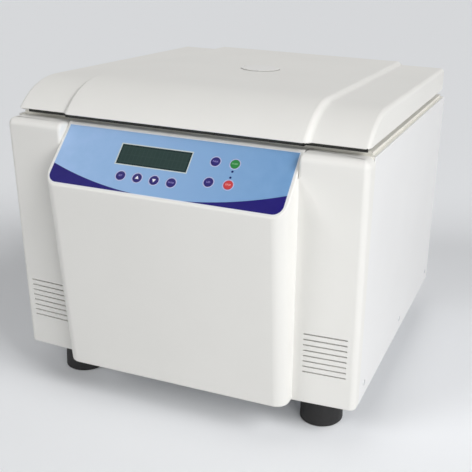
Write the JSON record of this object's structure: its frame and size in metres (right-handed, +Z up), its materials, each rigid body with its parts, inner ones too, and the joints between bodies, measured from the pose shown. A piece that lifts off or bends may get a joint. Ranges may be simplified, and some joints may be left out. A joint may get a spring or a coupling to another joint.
{
  "type": "cytocentrifuge",
  "caption": "Benchtop cytocentrifuge with a vented casing, sloping key panel, rear-hinged lid and a swing-out rotor that spins cells onto glass slides.",
  "frame": {"origin": "on the bench, under the middle of the machine's length and width", "axes": "+X to the machine's right as seen from the front, +Y from its control panel to its rear, +Z up"},
  "size_m": [0.4316, 0.4724, 0.3761],
  "materials": {
    "casing_white": "fine satin powder coat",
    "moulding_white": "fine satin grain",
    "lid_white": "smooth satin",
    "deck_beige": "fine grain",
    "port_white": "smooth",
    "overlay_blue": "printed polyester film",
    "display_smoke": "clear window",
    "display_dark": "smooth",
    "circuit_green": "solder resist",
    "key_indigo": "printed film",
    "key_green": "printed film",
    "key_red": "printed film",
    "lamp_dark": "smooth",
    "steel": "brushed",
    "zinc_steel": "zinc plate",
    "screw_steel": "plated",
    "rubber_black": "moulded",
    "seal_rubber": "moulded",
    "motor_grey": "painted casting",
    "rotor_aluminium": "clear anodised",
    "funnel_white": "moulded",
    "slide_glass": "polished",
    "black_plastic": "moulded"
  },
  "bodies": {
    "chassis": {"base_plate": "zinc_steel", "left_side_panel": "casing_white", "right_side_panel": "casing_white", "rear_panel": "casing_white", "top_deck": "deck_beige", "front_housing": "moulding_white", "control_overlay": "overlay_blue", "display_window": "display_smoke", "display_module": "display_dark", "control_board": "circuit_green", "status_lamps": "lamp_dark", "chamber_bowl": "steel", "chamber_seal": "seal_rubber", "guard_ring": "zinc_steel", "motor_plate": "zinc_steel", "vibration_dampers": "rubber_black", "motor_housing": "motor_grey", "motor_bearings": "steel", "lock_body": "zinc_steel", "lock_solenoid": "black_plastic", "hinge_brackets": "steel", "feet": "rubber_black", "casing_fasteners": "screw_steel", "power_inlet": "black_plastic", "switch_frame": "black_plastic", "fan_frame": "black_plastic", "power_board": "circuit_green"},
    "lid": {"lid_cover": "lid_white", "lid_liner": "steel", "sight_port": "port_white", "lid_hook": "steel", "hinge_arms": "steel", "hinge_pins": "screw_steel"},
    "rotor": {"drive_shaft": "steel", "rotor_head": "rotor_aluminium", "rotor_nut": "rotor_aluminium"},
    "carrier_1": {"carrier_frame_1": "steel", "glass_slide_1": "slide_glass", "sample_funnel_1": "funnel_white"},
    "carrier_2": {"carrier_frame_2": "steel", "glass_slide_2": "slide_glass", "sample_funnel_2": "funnel_white"},
    "carrier_3": {"carrier_frame_3": "steel", "glass_slide_3": "slide_glass", "sample_funnel_3": "funnel_white"},
    "carrier_4": {"carrier_frame_4": "steel", "glass_slide_4": "slide_glass", "sample_funnel_4": "funnel_white"},
    "latch": {"latch_pawl": "steel"},
    "plunger": {"solenoid_plunger": "steel"},
    "fan_rotor": {"fan_impeller": "black_plastic"},
    "rocker": {"switch_rocker": "black_plastic"},
    "key_set": {"key_set": "key_indigo"},
    "key_up": {"key_up": "key_indigo"},
    "key_down": {"key_down": "key_indigo"},
    "key_enter": {"key_enter": "key_indigo"},
    "key_pulse": {"key_pulse": "key_indigo"},
    "key_start": {"key_start": "key_green"},
    "key_lid": {"key_lid": "key_indigo"},
    "key_stop": {"key_stop": "key_red"}
  },
  "joints": [
    {"name": "lid_hinge", "type": "hinge", "parent": "chassis", "child": "lid", "pos_m": [0, 0.22225, 0.3353], "axis": [-1, 0, 0], "range_deg": [0, 80]},
    {"name": "rotor_spin", "type": "hinge", "parent": "chassis", "child": "rotor", "pos_m": [0, 0.03925, 0.264], "axis": [0, 0, 1], "continuous": true},
    {"name": "carrier_1_swing", "type": "hinge", "parent": "rotor", "child": "carrier_1", "pos_m": [0.09, 0.03925, 0.264], "axis": [0, -1, 0], "range_deg": [0, 90]},
    {"name": "carrier_2_swing", "type": "hinge", "parent": "rotor", "child": "carrier_2", "pos_m": [0, 0.12925, 0.264], "axis": [1, 0, 0], "range_deg": [0, 90]},
    {"name": "carrier_3_swing", "type": "hinge", "parent": "rotor", "child": "carrier_3", "pos_m": [-0.09, 0.03925, 0.264], "axis": [0, 1, 0], "range_deg": [0, 90]},
    {"name": "carrier_4_swing", "type": "hinge", "parent": "rotor", "child": "carrier_4", "pos_m": [0, -0.05075, 0.264], "axis": [-1, 0, 0], "range_deg": [0, 90]},
    {"name": "latch_swing", "type": "hinge", "parent": "chassis", "child": "latch", "pos_m": [0, -0.13775, 0.2915], "axis": [1, 0, 0], "range_deg": [0, 25]},
    {"name": "plunger_slide", "type": "slide", "parent": "chassis", "child": "plunger", "axis": [0, 0, 1], "range_m": [-0.0036, 0]},
    {"name": "fan_spin", "type": "hinge", "parent": "chassis", "child": "fan_rotor", "pos_m": [0.118, 0.22375, 0.134], "axis": [0, 1, 0], "continuous": true},
    {"name": "power_rocker", "type": "hinge", "parent": "chassis", "child": "rocker", "pos_m": [-0.12, 0.22075, 0.138], "axis": [-1, 0, 0], "range_deg": [0, 18]},
    {"name": "key_set_press", "type": "slide", "parent": "chassis", "child": "key_set", "axis": [0, 0.7218, -0.6921], "range_m": [0, 0.0005], "stiffness_N_per_m": 1200, "springref_m": -0.0003},
    {"name": "key_up_press", "type": "slide", "parent": "chassis", "child": "key_up", "axis": [0, 0.7218, -0.6921], "range_m": [0, 0.0005], "stiffness_N_per_m": 1200, "springref_m": -0.0003},
    {"name": "key_down_press", "type": "slide", "parent": "chassis", "child": "key_down", "axis": [0, 0.7218, -0.6921], "range_m": [0, 0.0005], "stiffness_N_per_m": 1200, "springref_m": -0.0003},
    {"name": "key_enter_press", "type": "slide", "parent": "chassis", "child": "key_enter", "axis": [0, 0.7218, -0.6921], "range_m": [0, 0.0005], "stiffness_N_per_m": 1200, "springref_m": -0.0003},
    {"name": "key_pulse_press", "type": "slide", "parent": "chassis", "child": "key_pulse", "axis": [0, 0.7218, -0.6921], "range_m": [0, 0.0005], "stiffness_N_per_m": 1200, "springref_m": -0.0003},
    {"name": "key_start_press", "type": "slide", "parent": "chassis", "child": "key_start", "axis": [0, 0.7218, -0.6921], "range_m": [0, 0.0005], "stiffness_N_per_m": 1200, "springref_m": -0.0003},
    {"name": "key_lid_press", "type": "slide", "parent": "chassis", "child": "key_lid", "axis": [0, 0.7218, -0.6921], "range_m": [0, 0.0005], "stiffness_N_per_m": 1200, "springref_m": -0.0003},
    {"name": "key_stop_press", "type": "slide", "parent": "chassis", "child": "key_stop", "axis": [0, 0.7218, -0.6921], "range_m": [0, 0.0005], "stiffness_N_per_m": 1200, "springref_m": -0.0003}
  ],
  "couplings": [
    {"joint": "plunger_slide", "follows": "latch_swing", "m_per_rad": -0.00807}
  ]
}
